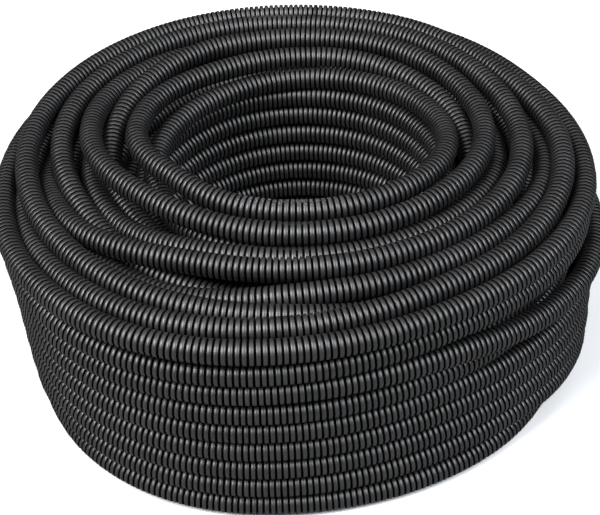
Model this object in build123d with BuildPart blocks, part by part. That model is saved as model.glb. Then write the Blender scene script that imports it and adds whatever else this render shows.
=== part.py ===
from build123d import *
from math import sqrt
import os

# A coil of corrugated conduit lying on its flat side, in millimetres.
# The origin is on the floor, under the middle of the bore, with +Z along the coil's axis.

# The conduit and how it is wound
conduit_od = 13.0
coil_bore = 165.0
row_rise = 14.0

# Each layer, innermost first: its rows, and how far up it lies in shares of the rise of a row
layer_rows = (10, 9, 9, 9, 9, 9, 9)
lift_shares = (0, 0.5, 0.5, 0.5, 0, 0.5, 0)

# The section of one turn, drawn with flat sides
turn_sides = 8
groove_fill_share = 0.15

layers = range(len(lift_shares))
half_side_angle = 180 / turn_sides
groove_fill = groove_fill_share * conduit_od


def layer_radii():
    """Each layer rests on the one inside it, so that their turns just touch."""
    radii = [coil_bore / 2 + conduit_od / 2]
    for inner, outer in zip(lift_shares, lift_shares[1:]):
        step_up = (outer - inner) * row_rise
        radii.append(radii[-1] + sqrt(conduit_od**2 - step_up**2))
    return radii


radii = layer_radii()


def turn_centre(layer, row):
    """Radius and height of a turn's centre line."""
    return radii[layer], conduit_od / 2 + (lift_shares[layer] + row) * row_rise


def shown_turns():
    """Centres of the turns that form the bore's wall, the outer wall and the two ends."""
    centres = []
    for layer, rows in enumerate(layer_rows):
        is_wall = layer in (layers[0], layers[-1])
        shown_rows = range(rows) if is_wall else (0, rows - 1)
        centres += [turn_centre(layer, row) for row in shown_rows]
    return centres


def core_corners():
    """The line through the lowest and the highest turns of all layers."""
    under = [turn_centre(layer, 0) for layer in layers]
    over = [turn_centre(layer, rows - 1) for layer, rows in enumerate(layer_rows)]
    return under + over[::-1]


with BuildPart() as conduit_coil:
    with BuildSketch(Plane.XZ) as winding:
        with BuildLine():
            Polyline(*core_corners(), close=True)
        make_face()
        offset(amount=groove_fill, kind=Kind.INTERSECTION)
        with Locations(*shown_turns()):
            RegularPolygon(conduit_od / 2, turn_sides, major_radius=False, rotation=half_side_angle)
    revolve(axis=Axis.Z)

conduit_coil.part.label = "conduit_coil"

os.makedirs("parts", exist_ok=True)
export_step(conduit_coil.part, "parts/conduit_coil.step")
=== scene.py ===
import math

import bpy
import numpy as np
from mathutils import Matrix, Vector


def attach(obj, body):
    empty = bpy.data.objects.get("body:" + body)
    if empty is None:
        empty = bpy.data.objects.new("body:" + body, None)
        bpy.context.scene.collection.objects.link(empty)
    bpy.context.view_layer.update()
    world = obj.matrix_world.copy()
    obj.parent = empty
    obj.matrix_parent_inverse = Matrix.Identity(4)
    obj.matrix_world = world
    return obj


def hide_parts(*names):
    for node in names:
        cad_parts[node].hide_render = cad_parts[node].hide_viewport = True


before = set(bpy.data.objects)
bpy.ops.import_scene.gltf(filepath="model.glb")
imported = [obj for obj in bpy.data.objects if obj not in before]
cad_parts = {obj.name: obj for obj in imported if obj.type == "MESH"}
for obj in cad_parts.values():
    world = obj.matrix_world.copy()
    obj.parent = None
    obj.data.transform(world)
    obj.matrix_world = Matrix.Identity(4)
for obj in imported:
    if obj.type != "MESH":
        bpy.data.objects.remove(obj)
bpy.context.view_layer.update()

# Sizes, in metres
COIL_RADIUS = 0.1654
CONDUIT_OD = 0.013
CREST_RADIUS = CONDUIT_OD / 2
GROOVE_RADIUS = 0.0047
WAVE_PITCH = 0.0032

# Camera
VIEW_HEIGHT = 0.0595
VIEW_ELEVATION = 38.5
VIEW_DISTANCE = 0.7946
VIEW_ROLL = -1.5
LENS = 80.61
SENSOR_WIDTH = 36
SHIFT_X, SHIFT_Y = 0.001, -0.0342
NEAREST, FARTHEST = 0.05, 30


def put_in_scene(name, data):
    """A new object that holds this data."""
    thing = bpy.data.objects.new(name, data)
    bpy.context.scene.collection.objects.link(thing)
    return thing


def set_camera():
    """The photograph's view: from the front and above, looking along +Y."""
    data = bpy.data.cameras.new("camera")
    data.lens = LENS
    data.sensor_width = SENSOR_WIDTH
    data.shift_x = SHIFT_X
    data.shift_y = SHIFT_Y
    data.clip_start = NEAREST
    data.clip_end = FARTHEST
    camera = put_in_scene("camera", data)
    tilt = math.radians(VIEW_ELEVATION)
    back = Vector((0, -math.cos(tilt), math.sin(tilt)))
    place = Vector((0, 0, VIEW_HEIGHT)) + back * VIEW_DISTANCE
    turn = back.to_track_quat("Z", "Y").to_matrix().to_4x4()
    roll = Matrix.Rotation(math.radians(VIEW_ROLL), 4, "Z")
    camera.matrix_world = Matrix.Translation(place) @ turn @ roll
    bpy.context.scene.camera = camera


set_camera()

# The conduit's route

# Distances in this part are shares of the coil's radius. Bearings are in degrees,
# anticlockwise from +X as seen from above, and they grow along the whole conduit.
STEPS_A_TURN = 24
STEP = 360 / STEPS_A_TURN
TABLE_STEP = 30
TUBE = CREST_RADIUS / COIL_RADIUS
ROW_RISE = 0.0852
FLOOR_CLEARANCE = 0.0403

# The outer wall's middle line: its lobes as (how many, cosine, sine), and its lean with height
WALL_RADIUS = 0.9587
WALL_LOBES = ((2, -0.0052, 0.0207), (3, 0.0273, -0.0136))
WALL_LEAN, WALL_LEAN_X, WALL_LEAN_Y = 0.0081, -0.0301, -0.0019
WALL_MIDDLE_HEIGHT = 0.36

# The bore's middle line is a circle whose middle lies off the coil's
BORE_RADIUS = 0.517
BORE_OFF_X, BORE_OFF_Y = -0.012, -0.01


def wall_radius(bearing, height):
    """Centre line of the outer wall's turns, which is a little out of round and leans."""
    a = np.radians(bearing)
    out_of_round = 0
    for lobes, cosine, sine in WALL_LOBES:
        out_of_round = out_of_round + cosine * np.cos(lobes * a) + sine * np.sin(lobes * a)
    lean = WALL_LEAN + WALL_LEAN_X * np.cos(a) + WALL_LEAN_Y * np.sin(a)
    return WALL_RADIUS + out_of_round + (height - WALL_MIDDLE_HEIGHT) / WALL_MIDDLE_HEIGHT * lean


def bore_radius(bearing):
    """Centre line of the innermost turns."""
    a = np.radians(bearing)
    return BORE_RADIUS + BORE_OFF_X * np.cos(a) + BORE_OFF_Y * np.sin(a)


def smooth_curve(knots, values, at):
    """A smooth curve through the values at the knots, with no overshoot (monotone cubic)."""
    length = np.diff(knots)
    slope = np.diff(values) / length
    steepness = np.zeros_like(values)
    same_way = slope[:-1] * slope[1:] > 0
    before = 2 * length[1:] + length[:-1]
    after = length[1:] + 2 * length[:-1]
    with np.errstate(divide="ignore", invalid="ignore"):
        mean = (before + after) / (before / slope[:-1] + after / slope[1:])
    steepness[1:-1] = np.where(same_way, mean, 0)
    steepness[0], steepness[-1] = slope[0], slope[-1]
    i = np.clip(np.searchsorted(knots, at, side="right") - 1, 0, len(knots) - 2)
    t = (at - knots[i]) / length[i]
    return ((1 + 2 * t) * (1 - t) ** 2 * values[i] + t * (1 - t) ** 2 * length[i] * steepness[i]
            + t * t * (3 - 2 * t) * values[i + 1] + t * t * (t - 1) * length[i] * steepness[i + 1])


class Route:
    """Stations along the conduit: bearing, radius, height, and how firmly each one holds its place."""

    def __init__(self):
        self.bearings, self.radii, self.heights, self.holds = [], [], [], []

    def add(self, bearings, radii, heights, hold):
        """Stations at these places, with one hold for all or one for each."""
        self.bearings += list(bearings)
        self.radii += list(radii)
        self.heights += list(heights)
        self.holds += list(np.broadcast_to(hold, len(bearings)))

    def add_table(self, places, hold):
        """Places read every TABLE_STEP degrees, from the next such bearing on."""
        first = math.ceil((self.bearings[-1] + 1) / TABLE_STEP) * TABLE_STEP
        for n, (radius, height, *own_hold) in enumerate(places):
            self.add([first + TABLE_STEP * n], [radius], [height], own_hold or hold)

    def evenly(self):
        """The same stations every STEP degrees, on a smooth line through them."""
        knots = np.array(self.bearings, float)
        even = np.arange(math.ceil(knots[0] / STEP), math.floor(knots[-1] / STEP) + 1) * STEP
        radii, heights = (smooth_curve(knots, np.array(values, float), even)
                          for values in (self.radii, self.heights))
        return even, radii, heights, np.interp(even, knots, np.array(self.holds, float))


# How firmly a turn holds its place where turns push each other apart
FIRM = 1.0
HELD = 0.6
HALF = 0.3
SLACK = 0.1
LOOSE = 0.05

# How far a row of the outer wall lies above or below its own level, in rows, by bearing.
# The lowest rows come down later on the right than the upper ones do.
SHIFT_BEHIND = ((360, -1.0), (390, -0.8), (420, -0.55), (450, -0.3), (480, -0.05), (510, 0.25), (540, 0.65))
LOW_ROW_SHIFT = ((180, -0.35), (210, 0), (316, 0), (345, -0.9)) + SHIFT_BEHIND
HIGH_ROW_SHIFT = ((180, -0.35), (210, 0), (300, 0), (330, -0.5)) + SHIFT_BEHIND
LOW_ROW, HIGH_ROW = 1, 3

# Rows that leave the wall's line: row, middle bearing, half width, outwards, up in rows
ROW_BULGES = (
    (0, 300, 40, 0.016, 0.0),
    (0, 367, 50, -0.095, 0.2),
    (5, 350, 55, -0.080, 0.3),
    (4, 408, 60, 0.015, 0.0),
    (5, 408, 60, 0.025, 0.0),
    (6, 408, 60, 0.035, 0.0),
    (7, 408, 60, 0.050, 0.1),
    (6, 335, 60, 0.015, -0.6),
    (6, 365, 40, 0.030, 0.0),
    (7, 350, 70, -0.035, -0.1),
)

# Where the wall swells on both sides: middle bearing, half width, outwards low down and high up
SIDE_SWELLS = ((203, 35, 0.018, -0.004), (347, 50, 0.020, 0.020))
SWELL_LOW, SWELL_HIGH = 0.15, 0.50

# The wall is firm in front, and its upper rows are held at the back right, where they stand out.
# The row on the floor is firmer still in front and gives way where it starts to come down.
WALL_START = 180
WALL_TURNS = 7.75
FRONT_START, FRONT_END, BACK_RIGHT_END = 185, 370, 460
HELD_ROW = 4
FLOOR_ROW_COMES_DOWN = 320
FLOOR_ROW_FIRMER, FLOOR_ROW_SLACKER = 2, 0.4


def hump(x, middle, half):
    """1 in the middle, falling smoothly to 0 at half its width on both sides."""
    return np.cos(np.clip((x - middle) / half, -1, 1) * np.pi / 2) ** 2


def wall_holds(row, turn):
    """How firmly each station of the outer wall holds its place."""
    holds = np.where((turn > FRONT_START) & (turn < FRONT_END), FIRM, SLACK)
    holds[(row >= HELD_ROW) & (turn >= FRONT_END) & (turn < BACK_RIGHT_END)] = HELD
    floor_row = np.where(turn < FLOOR_ROW_COMES_DOWN, FLOOR_ROW_FIRMER, FLOOR_ROW_SLACKER)
    return np.where(row == 0, holds * floor_row, holds)


def lay_wall(route):
    """The outer wall from the floor up: level in front, lower on the right, one row up behind."""
    bearings = np.arange(WALL_START, WALL_START + 360 * WALL_TURNS, STEP)
    row = (bearings - WALL_START) // 360
    turn = bearings - 360 * row
    low, high = (np.interp(turn, *np.transpose(shift)) for shift in (LOW_ROW_SHIFT, HIGH_ROW_SHIFT))
    rows = row + low + (high - low) * np.clip((row - LOW_ROW) / (HIGH_ROW - LOW_ROW), 0, 1)
    outwards = np.zeros(len(bearings))
    for bulging_row, middle, half, bulge, up in ROW_BULGES:
        near = np.where(row == bulging_row, hump(turn, middle, half), 0)
        rows = rows + up * near
        outwards = outwards + bulge * near
    heights = FLOOR_CLEARANCE + ROW_RISE * np.maximum(rows, 0)
    for middle, half, low_down, high_up in SIDE_SWELLS:
        swell = np.interp(heights, (0, SWELL_LOW, SWELL_HIGH), (0, low_down, high_up))
        outwards = outwards + swell * hump(turn, middle, half)
    radii = wall_radius(bearings, heights) + outwards
    route.add(bearings, radii, heights, wall_holds(row, turn))


# The turns on top, read off the photograph, and the hidden ones that join them: radius, height
# and, where it isn't the run's own, how firmly the place is held, every TABLE_STEP degrees
TOP_OF_WALL = (
    (0.93, 0.64, LOOSE), (0.945, 0.65, HALF), (0.962, 0.665), (0.957, 0.67), (0.996, 0.69), (1.020, 0.72),
    (0.955, 0.715), (0.911, 0.70), (0.948, 0.69), (0.977, 0.665), (0.989, 0.665), (1.03, 0.668),
    (0.94, 0.615, LOOSE), (0.90, 0.635, LOOSE), (0.92, 0.65, LOOSE))
SECOND_AND_THIRD = (
    (0.95, 0.68, HALF), (0.959, 0.705), (0.951, 0.735), (0.893, 0.735), (0.845, 0.735), (0.866, 0.715),
    (0.898, 0.72), (0.886, 0.72), (0.952, 0.713), (0.971, 0.7136), (0.981, 0.713), (0.966, 0.713),
    (0.926, 0.715), (0.889, 0.72), (0.865, 0.728), (0.816, 0.715), (0.80, 0.66, LOOSE))
UNDER_THIRD = ((0.80, 0.65), (0.80, 0.64), (0.80, 0.64), (0.80, 0.65))
FOURTH = (
    (0.80, 0.66, LOOSE), (0.8055, 0.70), (0.777, 0.735), (0.698, 0.765), (0.585, 0.785), (0.534, 0.787),
    (0.526, 0.788), (0.542, 0.785), (0.5765, 0.78), (0.6375, 0.765), (0.68, 0.76), (0.72, 0.76),
    (0.715, 0.76), (0.725, 0.765), (0.688, 0.755), (0.644, 0.717, HALF))
UNDER_FOURTH = ((0.588, 0.676, HALF), (0.570, 0.672, HALF), (0.555, 0.65), (0.54, 0.63))
INNERMOST = (
    (0.56, 0.65, LOOSE), (0.585, 0.70, HALF), (0.5936, 0.74), (0.585, 0.76), (0.540, 0.775),
    (0.535, 0.775), (0.562, 0.78), (0.5425, 0.79), (0.452, 0.80), (0.436, 0.80), (0.428, 0.80),
    (0.442, 0.80), (0.475, 0.785), (0.5095, 0.76), (0.517, 0.735), (0.514, 0.715), (0.507, 0.70),
    (0.4855, 0.70), (0.4837, 0.70), (0.485, 0.695), (0.495, 0.685))
CROSSING = (
    (0.88, 0.64, LOOSE), (0.86, 0.69, HALF), (0.806, 0.735), (0.676, 0.75), (0.662, 0.763),
    (0.674, 0.755), (0.7195, 0.745), (0.767, 0.745), (0.789, 0.755), (0.842, 0.745), (0.870, 0.73),
    (0.900, 0.73), (0.872, 0.735), (0.797, 0.735), (0.712, 0.725, HALF))
UNDER_CROSSING = (
    (0.70, 0.69), (0.71, 0.66), (0.74, 0.65), (0.80, 0.64), (0.895, 0.625, HELD), (0.93, 0.62, HELD),
    (0.96, 0.625, HELD), (0.90, 0.64, HALF), (0.82, 0.66), (0.80, 0.67), (0.78, 0.69), (0.775, 0.69),
    (0.765, 0.70, HALF))
BETWEEN = ((0.733, 0.744), (0.727, 0.725), (0.776, 0.70), (0.855, 0.665, HALF))
UNDER_BETWEEN = ((0.84, 0.66), (0.82, 0.65), (0.80, 0.65), (0.77, 0.66), (0.73, 0.67), (0.69, 0.67))
LAST = (
    (0.66, 0.68, HALF), (0.612, 0.73), (0.588, 0.74), (0.598, 0.735), (0.636, 0.715), (0.71, 0.69, HALF))
END = ((0.74, 0.66), (0.74, 0.65))

OVER_THE_TOP = ((TOP_OF_WALL, FIRM), (SECOND_AND_THIRD, FIRM), (UNDER_THIRD, LOOSE), (FOURTH, FIRM),
                (UNDER_FOURTH, LOOSE), (INNERMOST, FIRM))
BACK_ON_TOP = ((CROSSING, FIRM), (UNDER_CROSSING, LOOSE), (BETWEEN, FIRM), (UNDER_BETWEEN, LOOSE),
               (LAST, FIRM), (END, LOOSE))

# The bore's rows, the first of which is lifted round a place this many degrees past its start
BORE_TURNS = 7.3
BORE_TOP = 0.69
FIRST_BORE_RISE = 0.028
RISE_MIDDLE, RISE_HALF = 30, 90

# The layers between the bore and the outer wall
LAYERS_INSIDE = 5
ROWS_INSIDE = 8
INSIDE_TOP = 0.64
CROSSING_STARTS = 150


def lay_bore(route):
    """Down the bore's wall to the floor. The first of its rows lies a little higher on one side."""
    start = route.bearings[-1] + TABLE_STEP
    bearings = np.arange(start, start + 360 * BORE_TURNS, TABLE_STEP)
    rows_down = (bearings - start) / 360
    heights = np.maximum(BORE_TOP - ROW_RISE * rows_down, FLOOR_CLEARANCE)
    heights += FIRST_BORE_RISE * hump(bearings, start + RISE_MIDDLE, RISE_HALF)
    route.add(bearings, bore_radius(bearings), heights, FIRM)


def lay_layers_inside(route):
    """The hidden layers from the bore outwards, wound up and down in turn."""
    for layer in range(1, LAYERS_INSIDE + 1):
        start = route.bearings[-1] + TABLE_STEP
        length = 360 * ROWS_INSIDE
        if layer == LAYERS_INSIDE:
            length = (CROSSING_STARTS - start) % 360 + 360 * (ROWS_INSIDE - 1)
        bearings = np.arange(start, start + length, TABLE_STEP)
        wound = (bearings - start) / length
        climbed = wound if layer % 2 == 1 else 1 - wound
        heights = FLOOR_CLEARANCE + (INSIDE_TOP - FLOOR_CLEARANCE) * climbed
        inner, outer = bore_radius(bearings), wall_radius(bearings, heights)
        radii = inner + (outer - inner) * layer / (LAYERS_INSIDE + 1)
        route.add(bearings, radii, heights, LOOSE)


def whole_route():
    """Up the outer wall, over the top, down the bore, up and down the layers inside, and on top again."""
    route = Route()
    lay_wall(route)
    for places, hold in OVER_THE_TOP:
        route.add_table(places, hold)
    lay_bore(route)
    lay_layers_inside(route)
    for places, hold in BACK_ON_TOP:
        route.add_table(places, hold)
    return route


# How the turns settle: how near their middles may come, and what part of each move is made a round
SETTLING_ROUNDS = 240
TOUCHING_SHARE = 0.985
TOUCHING = 2 * TUBE * TOUCHING_SHARE
PUSH_SHARE = 0.5
EVENING_SHARE = 0.3
PULL_BACK_SHARE = 0.02
OUT_OF_REACH = 9

# Turns held more softly than this stay between the bore and the wall, and below the shown turns
SOFT_BELOW = 0.5
SOFT_TOP = 0.68


def stations_by_plane(bearings):
    """The stations that share each half plane through the coil's axis."""
    plane = np.round(bearings / STEP).astype(int) % STEPS_A_TURN
    return [np.nonzero(plane == k)[0] for k in range(STEPS_A_TURN)]


def settle(bearings, radii, heights, holds):
    """Turns that would lie in each other push each other apart, and the hidden ones give way."""
    place = np.stack([radii, heights], 1)
    wanted = place.copy()
    planes = stations_by_plane(bearings)
    soft = holds < SOFT_BELOW
    for _ in range(SETTLING_ROUNDS):
        move = np.zeros_like(place)
        for plane in planes:
            here, hold = place[plane], holds[plane]
            gap = here[:, None] - here[None]
            far = np.sqrt((gap ** 2).sum(2)) + np.eye(len(here)) * OUT_OF_REACH
            over = np.clip(TOUCHING - far, 0, None)
            give = hold[None] / (hold[None] + hold[:, None])
            push = (gap / far[..., None]) * (over * give)[..., None]
            move[plane] = push.sum(1) * PUSH_SHARE
        place += move
        drift = place - wanted
        beside = drift.copy()
        beside[1:-1] = (drift[:-2] + drift[2:]) / 2
        place = wanted + drift + (beside - drift) * EVENING_SHARE
        place -= (place - wanted) * (PULL_BACK_SHARE * holds ** 2)[:, None]
        place[:, 1] = np.maximum(place[:, 1], FLOOR_CLEARANCE)
        place[soft, 0] = np.minimum(place[soft, 0], wall_radius(bearings, place[:, 1])[soft])
        place[soft, 0] = np.maximum(place[soft, 0], bore_radius(bearings)[soft])
        place[soft, 1] = np.minimum(place[soft, 1], SOFT_TOP)
    return place


bearings, radii, heights, holds = whole_route().evenly()
place = settle(bearings, radii, heights, holds)

# The cord

# How far out the smooth curve lies, as a share of its control points' radius
CONTROL_SHARE = math.cos(math.pi / STEPS_A_TURN)
LINE_RESOLUTION = 4


def control_points():
    """Control points whose smooth curve runs through the settled turns, in metres."""
    a = np.radians(bearings)
    out = place[:, 0] / CONTROL_SHARE
    return np.stack([out * np.cos(a), out * np.sin(a), place[:, 1]], 1) * COIL_RADIUS


def make_cord():
    """The whole length of the conduit as one open spline, with no thickness yet."""
    curve = bpy.data.curves.new("conduit", "CURVE")
    curve.dimensions = "3D"
    curve.resolution_u = LINE_RESOLUTION
    points = control_points()
    spline = curve.splines.new("NURBS")
    spline.points.add(len(points) - 1)
    spline.points.foreach_set("co", np.c_[points, np.ones(len(points))].ravel().astype(np.float32))
    spline.order_u = 3
    spline.use_endpoint_u = True
    return curve


def centre_line(curve):
    """Points of the cord's own smooth line, with their distance along it."""
    probe = bpy.data.objects.new("probe", curve)
    mesh = bpy.data.meshes.new_from_object(probe)
    places = np.empty(len(mesh.vertices) * 3, np.float32)
    mesh.vertices.foreach_get("co", places)
    bpy.data.meshes.remove(mesh)
    bpy.data.objects.remove(probe)
    line = places.reshape(-1, 3).astype(float)
    along = np.r_[0, np.cumsum(np.linalg.norm(np.diff(line, axis=0), axis=1))]
    return line, along


cord_curve = make_cord()
line, along = centre_line(cord_curve)
CORD_LENGTH = float(along[-1])

# Where no waves are built, the smooth inside of the conduit shows
cord_curve.bevel_depth = GROOVE_RADIUS
cord_curve.bevel_resolution = 1
conduit = put_in_scene("conduit", cord_curve)

# The waves
SIDES = 12
MOST_TRIANGLES = 150_000

# How far before and behind a section the direction of the conduit is read, in metres
TANGENT_REACH = 0.003

# One wave, from the middle of one groove on: share of its length, radius there in metres, and how far
# the surface leans along the conduit in degrees. The middle strip is the crest; the others, flanks and
# groove, get the grooves' painted shade.
SLOPE_RADIUS = 0.0056
PROFILE = ((0.0, GROOVE_RADIUS, 0), (0.15, SLOPE_RADIUS, -60), (0.20, CREST_RADIUS, -25),
           (0.80, CREST_RADIUS, 25), (0.85, SLOPE_RADIUS, 60))
CREST_STRIP = 2

# Sight lines in the plane through the coil's axis: how many from each station, how far aslant in
# degrees a side is still seen, and how near they come to a turn's middle before it blocks them,
# in shares of the conduit's radius
SIGHT_LINES = 36
SEEN_ASLANT = 50
AHEAD_SHARE = 0.5
BLOCKED_SHARE = 0.92

# Sight lines to the camera: how near they come, and how far a side may turn away from it.
# The last station has no next one, and a short run stands in.
CAMERA_BLOCKED_SHARE = 0.85
TURNED_AWAY = -0.1
LAST_RUN = 0.01


def seen_by_camera(side_middle):
    """For each station and each side of the conduit, whether the camera sees it past all other turns."""
    a = np.radians(bearings)
    outwards = np.stack([np.cos(a), np.sin(a), 0 * a], 1)
    centre = outwards * place[:, :1] + [0, 0, 1] * place[:, 1:]
    run = np.diff(centre, axis=0, append=centre[-1:] + LAST_RUN)
    eye = np.array(bpy.context.scene.camera.matrix_world.translation) / COIL_RADIUS
    seen = np.zeros((len(bearings), len(side_middle)), bool)
    apart = np.abs(np.arange(len(bearings))[:, None] - np.arange(len(bearings))[None])
    for k, side in enumerate(side_middle):
        facing = outwards * np.cos(side) + [0, 0, np.sin(side)]
        start = centre + facing * TUBE
        sight = eye - start
        sight /= np.linalg.norm(sight, axis=1)[:, None]
        # How near each line passes to each run between two stations, and how far ahead that is
        towards = centre @ sight.T - (start * sight).sum(1)
        run_towards = run @ sight.T
        offset = (centre ** 2).sum(1)[:, None] - 2 * centre @ start.T + (start ** 2).sum(1)
        lined_up = (centre * run).sum(1)[:, None] - run @ start.T - towards * run_towards
        steep = (run ** 2).sum(1)[:, None] - run_towards ** 2
        share = np.clip(-lined_up / steep, 0, 1)
        distance = offset - towards ** 2 + 2 * share * lined_up + share ** 2 * steep
        ahead = towards + share * run_towards
        blocked = (distance < (TUBE * CAMERA_BLOCKED_SHARE) ** 2) & (ahead > 0) & (apart > 1)
        seen[:, k] = ~blocked.any(0) & ((facing * sight).sum(1) > TURNED_AWAY)
    return seen


def open_sides():
    """For each station and each side of the conduit, whether it can be seen from outside the coil.

    A sight line starts at the middle of the conduit, in the plane through the coil's axis,
    and is blocked where it meets another turn. What the camera sees is added."""
    aims = np.arange(SIGHT_LINES) * 2 * np.pi / SIGHT_LINES
    aim = np.stack([np.cos(aims), np.sin(aims)], 1)
    side_middle = (np.arange(SIDES) + 0.5) * 2 * np.pi / SIDES
    apart = np.degrees(np.abs((side_middle[:, None] - aims[None] + np.pi) % (2 * np.pi) - np.pi))
    near = apart <= SEEN_ASLANT
    seen = np.zeros((len(bearings), SIDES), bool)
    for plane in stations_by_plane(bearings):
        gap = place[plane][None] - place[plane][:, None]
        ahead = gap @ aim.T
        across = np.abs(gap[..., 0, None] * aim[:, 1] - gap[..., 1, None] * aim[:, 0])
        blocked = ((ahead > TUBE * AHEAD_SHARE) & (across < TUBE * BLOCKED_SHARE)).any(1)
        seen[plane] = ((~blocked)[:, None] & near[None]).any(2)
    seen |= seen_by_camera(side_middle)
    beside = seen.copy()
    beside[1:] |= seen[:-1]
    beside[:-1] |= seen[1:]
    return beside


def seen_waves():
    """The numbers of the waves that can be seen, counted along the conduit, and their seen sides."""
    turned = np.unwrap(np.arctan2(line[:, 1], line[:, 0]))
    line_bearing = np.degrees(turned - turned[0]) + bearings[0]
    waves = np.arange(1, int(CORD_LENGTH / WAVE_PITCH) - 1)
    wave_bearing = np.interp((waves + 0.5) * WAVE_PITCH, along, line_bearing)
    station = np.clip((wave_bearing - bearings[0]) / STEP, 0, len(bearings) - 1)
    sides = open_sides()
    seen = sides[np.floor(station).astype(int)] | sides[np.ceil(station).astype(int)]
    shown = seen.any(1)
    return waves[shown], seen[shown]


def point_along(distances):
    """Points of the cord's line at these distances along it."""
    return np.stack([np.interp(distances, along, line[:, k]) for k in range(3)], 1)


def rings_along(distances):
    """Middle, direction, outwards and up of the conduit's section at each distance along it."""
    centre = point_along(distances)
    ahead = point_along(distances + TANGENT_REACH) - point_along(distances - TANGENT_REACH)
    ahead /= np.linalg.norm(ahead, axis=1)[:, None]
    out = np.cross(ahead, [0, 0, 1.0])
    out /= np.linalg.norm(out, axis=1)[:, None]
    return centre, ahead, out, np.cross(out, ahead)


def wave_surface(waves, seen):
    """The corrugated outside of some waves, only on their seen sides: places, normals, faces, and which
    faces get the grooves' painted shade.
    """
    rings = len(PROFILE)
    share, radius, lean = (np.tile(column, len(waves)) for column in np.transpose(PROFILE))
    centre, ahead, out, up = rings_along((np.repeat(waves, rings) + share) * WAVE_PITCH)
    a = np.arange(SIDES) * 2 * np.pi / SIDES
    ring = np.cos(a)[None, :, None] * out[:, None] + np.sin(a)[None, :, None] * up[:, None]
    lean = np.radians(lean)[:, None, None]
    verts = (centre[:, None] + ring * radius[:, None, None]).reshape(-1, 3)
    normals = (np.cos(lean) * ring + np.sin(lean) * ahead[:, None]).reshape(-1, 3)
    first = np.arange(len(radius) - 1)[:, None] * SIDES
    side = np.arange(SIDES)[None]
    beyond = (side + 1) % SIDES
    faces = np.stack([first + side, first + side + SIDES, first + beyond + SIDES, first + beyond], 2)
    next_follows = np.repeat(np.append(np.diff(waves) == 1, False), rings)
    ring_in_wave = np.arange(len(radius)) % rings
    joined = next_follows | (ring_in_wave < rings - 1)
    keep = np.repeat(seen, rings, axis=0)[:-1] & joined[:-1, None]
    strip = np.broadcast_to(ring_in_wave[:-1, None], keep.shape)[keep]
    used, faces = np.unique(faces[keep], return_inverse=True)
    return verts[used], normals[used], faces.reshape(-1, 4), strip != CREST_STRIP


def add_mesh(name, verts, normals, faces, is_shaded_groove):
    """A smooth piece of four-sided faces, whose second material is the grooves' painted shade."""
    mesh = bpy.data.meshes.new(name)
    mesh.vertices.add(len(verts))
    mesh.vertices.foreach_set("co", verts.ravel().astype(np.float32))
    mesh.loops.add(faces.size)
    mesh.loops.foreach_set("vertex_index", faces.ravel().astype(np.int32))
    mesh.polygons.add(len(faces))
    mesh.polygons.foreach_set("loop_start", np.arange(0, faces.size, 4, dtype=np.int32))
    mesh.update(calc_edges=True)
    mesh.shade_smooth()
    mesh.polygons.foreach_set("material_index", is_shaded_groove.astype(np.int32))
    mesh.normals_split_custom_set_from_vertices(normals)
    return put_in_scene(name, mesh)


def make_waves():
    """The seen waves in pieces of about the same size. Waves that follow each other stay joined."""
    waves, seen = seen_waves()
    triangles = np.cumsum(seen.sum(1)) * 2 * len(PROFILE)
    piece_count = math.ceil(triangles[-1] / MOST_TRIANGLES)
    piece_of = np.minimum(triangles * piece_count // (triangles[-1] + 1), piece_count - 1)
    pieces = []
    for k in range(piece_count):
        mine = np.nonzero(piece_of == k)[0]
        if mine[-1] + 1 < len(waves) and waves[mine[-1] + 1] == waves[mine[-1]] + 1:
            mine = np.append(mine, mine[-1] + 1)
        pieces.append(add_mesh(f"waves_{k:02d}", *wave_surface(waves[mine], seen[mine])))
    return pieces


pieces = make_waves()

# The conduit's two finishes: its plastic on the crests, and a darker copy of it with no reflection that
# paints the shade in the grooves
CREST_COLOUR = (0.0075, 0.0075, 0.008, 1)
DUST_COLOUR = (0.055, 0.0545, 0.057, 1)
RUBBED_COLOUR = (0.24, 0.24, 0.25, 1)
# Painted shade: the grooves' colours are darker than the crests' because shade falls there, and the dust in
# them is darkened with them
GROOVE_SHADE_COLOUR = (0.003, 0.003, 0.0033, 1)
GROOVE_DUST_AND_SHADE_COLOUR = (0.007, 0.007, 0.0075, 1)

# Where the innermost turn is scuffed, in metres
SCUFF_PLACE = (-0.004, -0.066, 0.139)
SCUFF_REACH = (0.036, 0.009, 0.010)

# How fine each noise is, where a higher number is finer, then its detail and roughness
DUST_PATCHES = 38.0
GRIME_PATCHES = 240.0
SPECKS = (620.0, 4.0, 0.7)
SATIN_PATCHES = (95.0, 3.0, 0.55)
SCRATCHES = (900.0, 5.0, 0.75)
GRAIN = (1500.0, 2.0, 0.55)

# Between which values of its noise each mask goes from nothing to all
PATCH_EDGE = (0.42, 0.68)
SPECK_EDGE = (0.55, 0.72)
SATIN_EDGE = (0.35, 0.65)
SCRATCH_EDGE = (0.48, 0.62)

# The scuff is full up to the first of these shares of its reach and ends at the second
SCUFF_EDGE = (0.3, 1.0)
SCUFF_ROUGHER = 0.25
SCUFF_HEIGHT = 0.6

# The grooves reflect nothing: painted shade
CREST_GLOSS, SHADED_GROOVE_GLOSS = 1.0, 0.0
CREST_ROUGHNESS = (0.41, 0.49)
GROOVE_ROUGHNESS = (0.5, 0.7)
GRAIN_STRENGTH = 0.12
GRAIN_DEPTH = 0.0004


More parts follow.
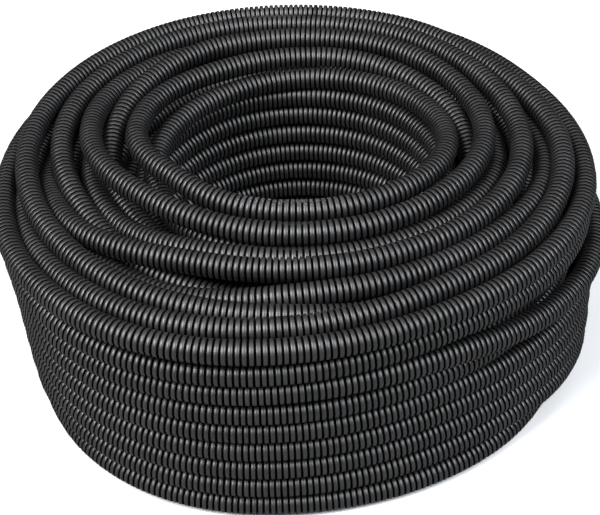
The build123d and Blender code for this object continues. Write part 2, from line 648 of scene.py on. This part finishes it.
class Nodes:
    """Short names for adding nodes and links to a node tree."""

    # Places of the colour sockets on a Mix node
    MIX_SHARE, MIX_FIRST, MIX_SECOND, MIX_COLOUR = 0, 6, 7, 2

    def __init__(self, tree):
        self.tree = tree

    def feed(self, socket, value):
        """Links the socket to another node's output, or sets it to a plain value."""
        if hasattr(value, "is_output"):
            self.tree.links.new(value, socket)
        else:
            socket.default_value = value

    def add(self, kind, inputs=(), **settings):
        node = self.tree.nodes.new("ShaderNode" + kind)
        for name, value in settings.items():
            setattr(node, name, value)
        for name, value in dict(inputs).items():
            self.feed(node.inputs[name], value)
        return node

    def combine(self, operation, *values):
        return self.add("Math", enumerate(values), operation=operation).outputs["Value"]

    def vector(self, operation, *values):
        return self.add("VectorMath", enumerate(values), operation=operation).outputs

    def noise(self, place, scale, detail=3.0, roughness=0.55):
        return self.add("TexNoise", {"Vector": place, "Scale": scale, "Detail": detail,
                                     "Roughness": roughness}).outputs["Fac"]

    def between(self, value, low, high, to_low=0.0, to_high=1.0):
        return self.add("MapRange", {"Value": value, "From Min": low, "From Max": high,
                                     "To Min": to_low, "To Max": to_high}).outputs["Result"]

    def blend(self, share, first, second):
        inputs = {self.MIX_SHARE: share, self.MIX_FIRST: first, self.MIX_SECOND: second}
        return self.add("Mix", inputs, data_type="RGBA").outputs[self.MIX_COLOUR]


def new_finish(name):
    """A new material, with its nodes and its shader."""
    material = bpy.data.materials.new(name)
    material.use_nodes = True
    return material, Nodes(material.node_tree), material.node_tree.nodes["Principled BSDF"]


def dust_group():
    """Dust in patches with finer specks, over a clean colour. Both finishes of the conduit use it; in the
    grooves the colour under the dust is painted shade.
    """
    group = bpy.data.node_groups.new("dust", "ShaderNodeTree")
    for name, kind in (("Clean", "Color"), ("Dusty", "Color"), ("Patches", "Float"),
                       ("Patch Share", "Float"), ("Speck Share", "Float")):
        group.interface.new_socket(name, in_out="INPUT", socket_type="NodeSocket" + kind)
    for name, kind in (("Colour", "Color"), ("Mask", "Float")):
        group.interface.new_socket(name, in_out="OUTPUT", socket_type="NodeSocket" + kind)
    nodes = Nodes(group)
    given = group.nodes.new("NodeGroupInput").outputs
    result = group.nodes.new("NodeGroupOutput").inputs
    here = nodes.add("TexCoord").outputs["Object"]
    patches = nodes.between(nodes.noise(here, given["Patches"]), *PATCH_EDGE)
    specks = nodes.between(nodes.noise(here, *SPECKS), *SPECK_EDGE)
    speck_mask = nodes.combine("MULTIPLY", specks, given["Speck Share"])
    mask = nodes.combine("MULTIPLY_ADD", patches, given["Patch Share"], speck_mask)
    nodes.feed(result["Colour"], nodes.blend(mask, given["Clean"], given["Dusty"]))
    nodes.feed(result["Mask"], mask)
    return group


def rubbed_crests(dust_nodes):
    """Satin black plastic, dusty in patches, and scuffed where the innermost turn has been handled."""
    material, nodes, shader = new_finish("rubbed_crests")
    here = nodes.add("TexCoord").outputs["Object"]
    dust = nodes.add("Group", {"Clean": CREST_COLOUR, "Dusty": DUST_COLOUR, "Patches": DUST_PATCHES,
                               "Patch Share": 0.2, "Speck Share": 0.15}, node_tree=dust_nodes)

    off = nodes.vector("SUBTRACT", here, SCUFF_PLACE)["Vector"]
    off = nodes.vector("DIVIDE", off, SCUFF_REACH)["Vector"]
    near = nodes.between(nodes.vector("LENGTH", off)["Value"], *SCUFF_EDGE, 1.0, 0.0)
    scratches = nodes.between(nodes.noise(here, *SCRATCHES), *SCRATCH_EDGE)
    scuff = nodes.combine("MULTIPLY", near, scratches)

    satin = nodes.between(nodes.noise(here, *SATIN_PATCHES), *SATIN_EDGE, *CREST_ROUGHNESS)
    rough = nodes.combine("MULTIPLY_ADD", scuff, SCUFF_ROUGHER, satin)
    height = nodes.combine("MULTIPLY_ADD", scuff, SCUFF_HEIGHT, nodes.noise(here, *GRAIN))
    bump = nodes.add("Bump", {"Strength": GRAIN_STRENGTH, "Distance": GRAIN_DEPTH, "Height": height})
    shader.inputs["Specular IOR Level"].default_value = CREST_GLOSS
    nodes.feed(shader.inputs["Base Color"], nodes.blend(scuff, dust.outputs["Colour"], RUBBED_COLOUR))
    nodes.feed(shader.inputs["Roughness"], rough)
    nodes.feed(shader.inputs["Normal"], bump.outputs["Normal"])
    return material


def painted_shade_grooves(dust_nodes):
    """Painted shade: the same plastic deep in the grooves and on their flanks, coloured darker and with no
    reflection, where hardly any light gets in or out. Patches of dust show on it, darkened too.
    """
    material, nodes, shader = new_finish("painted_shade_grooves")
    groove_dust_and_shade = nodes.add("Group", {"Clean": GROOVE_SHADE_COLOUR, "Dusty": GROOVE_DUST_AND_SHADE_COLOUR, "Patches": GRIME_PATCHES,
                                "Patch Share": 0.8, "Speck Share": 0.2}, node_tree=dust_nodes)
    shader.inputs["Specular IOR Level"].default_value = SHADED_GROOVE_GLOSS
    nodes.feed(shader.inputs["Base Color"], groove_dust_and_shade.outputs["Colour"])
    rough = nodes.between(groove_dust_and_shade.outputs["Mask"], 0.0, 1.0, *GROOVE_ROUGHNESS)
    nodes.feed(shader.inputs["Roughness"], rough)
    return material


dust_nodes = dust_group()
crests, grooves = rubbed_crests(dust_nodes), painted_shade_grooves(dust_nodes)
# The smooth core, where it shows, takes the grooves' painted shade too
cord_curve.materials.append(grooves)
for piece in pieces:
    piece.data.materials.append(crests)
    piece.data.materials.append(grooves)

for piece in [conduit] + pieces:
    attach(piece, "root")
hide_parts("conduit_coil")

# Floor and light
FLOOR_HALF = 1.6
FLOOR_COLOUR = (0.18, 0.18, 0.18, 1)
FLOOR_SEEN_COLOUR = (0.9, 0.9, 0.9, 1)
FLOOR_ROUGHNESS = 0.8

LAMP_AIM = (0, 0, 0.05)
LAMP_SIZE = (1.3, 1.4)
LEFT_PLACE, LEFT_POWER, LEFT_COLOUR = (-1.35, -0.8, 1.8), 77, (1.0, 0.995, 0.99)
RIGHT_PLACE, RIGHT_POWER, RIGHT_COLOUR = (1.3, -0.8, 1.8), 53, (0.91, 0.95, 1.0)

SKY_COLOUR = (1, 1, 1, 1)
SKY_STRENGTH = (0.0, 0.8)
SKY_FROM, SKY_TO = 0.3, 1.0


def make_floor():
    """A pale floor. The camera sees it nearly white, while it throws less light on the conduit."""
    mesh = bpy.data.meshes.new("floor")
    half = FLOOR_HALF
    mesh.from_pydata([(-half, -half, 0), (half, -half, 0), (half, half, 0), (-half, half, 0)], [],
                     [(0, 1, 2, 3)])
    floor = put_in_scene("floor", mesh)
    material, nodes, shader = new_finish("pale_floor")
    to_camera = nodes.add("LightPath").outputs["Is Camera Ray"]
    shader.inputs["Roughness"].default_value = FLOOR_ROUGHNESS
    nodes.feed(shader.inputs["Base Color"], nodes.blend(to_camera, FLOOR_COLOUR, FLOOR_SEEN_COLOUR))
    mesh.materials.append(material)


def soft_light(name, place, power, colour):
    """A large soft lamp that faces the coil."""
    data = bpy.data.lights.new(name, "AREA")
    data.color = colour
    data.shape = "RECTANGLE"
    data.size, data.size_y = LAMP_SIZE
    data.energy = power
    lamp = put_in_scene(name, data)
    lamp.location = place
    lamp.rotation_euler = (Vector(place) - Vector(LAMP_AIM)).to_track_quat("Z", "Y").to_euler()


def make_sky():
    """Soft light from high above. The camera sees a white backdrop."""
    world = bpy.data.worlds.new("studio")
    world.use_nodes = True
    nodes = Nodes(world.node_tree)
    direction = nodes.add("TexCoord").outputs["Generated"]
    up = nodes.add("SeparateXYZ", {"Vector": direction}).outputs["Z"]
    overhead = nodes.between(up, SKY_FROM, SKY_TO, *SKY_STRENGTH)
    to_camera = nodes.add("LightPath").outputs["Is Camera Ray"]
    sky = world.node_tree.nodes["Background"]
    sky.inputs["Color"].default_value = SKY_COLOUR
    nodes.feed(sky.inputs["Strength"], nodes.combine("MAXIMUM", overhead, to_camera))
    bpy.context.scene.world = world


make_floor()
soft_light("left_softbox", LEFT_PLACE, LEFT_POWER, LEFT_COLOUR)
soft_light("right_softbox", RIGHT_PLACE, RIGHT_POWER, RIGHT_COLOUR)
make_sky()
bpy.context.scene.view_settings.view_transform = "Standard"
